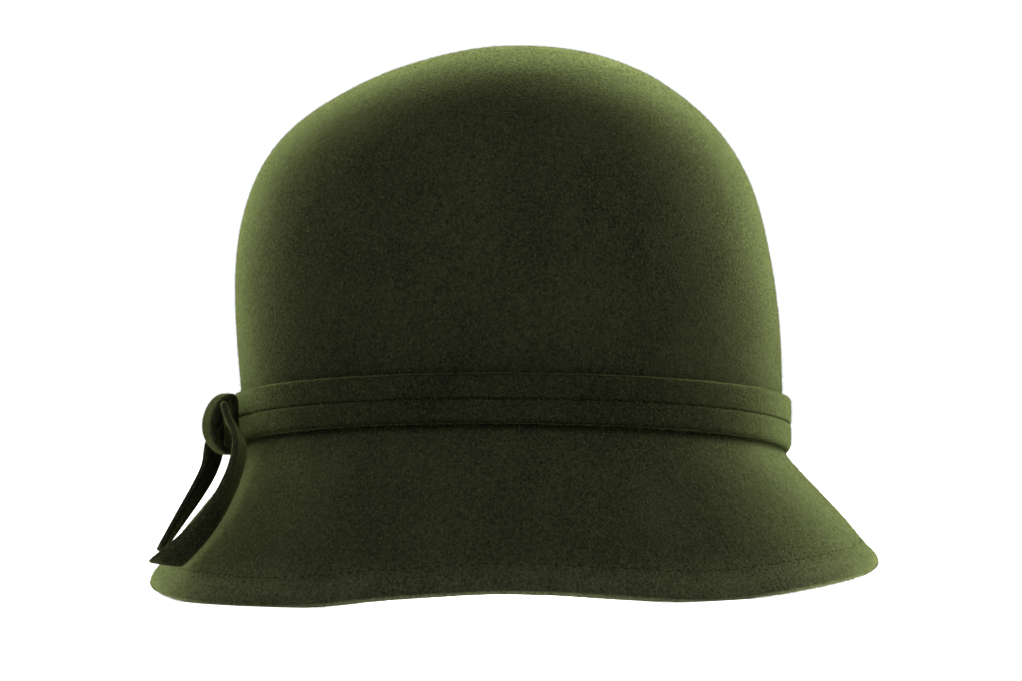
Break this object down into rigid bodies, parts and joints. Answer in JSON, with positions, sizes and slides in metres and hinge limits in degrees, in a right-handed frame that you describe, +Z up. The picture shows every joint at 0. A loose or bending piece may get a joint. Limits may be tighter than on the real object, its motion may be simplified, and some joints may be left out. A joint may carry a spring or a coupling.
{
  "type": "cloche hat",
  "caption": "Deep bell-shaped felt cloche with a short drooping brim, a stitched felt band and a felt wrap with hanging tails at one side; open below for the head.",
  "frame": {"origin": "On the surface that the hat stands on, under the middle of its outline.", "axes": "+Z up; the hat's front towards -Y; the wrap and its tails on the -X side, which is the wearer's right."},
  "size_m": [0.2238, 0.2478, 0.166],
  "materials": {
    "felt": "matte",
    "trim_felt": "matte"
  },
  "bodies": {
    "root": {"felt_body": "felt", "band": "trim_felt", "wrap": "trim_felt", "tail_front": "trim_felt", "tail_back": "trim_felt"}
  },
  "joints": []
}
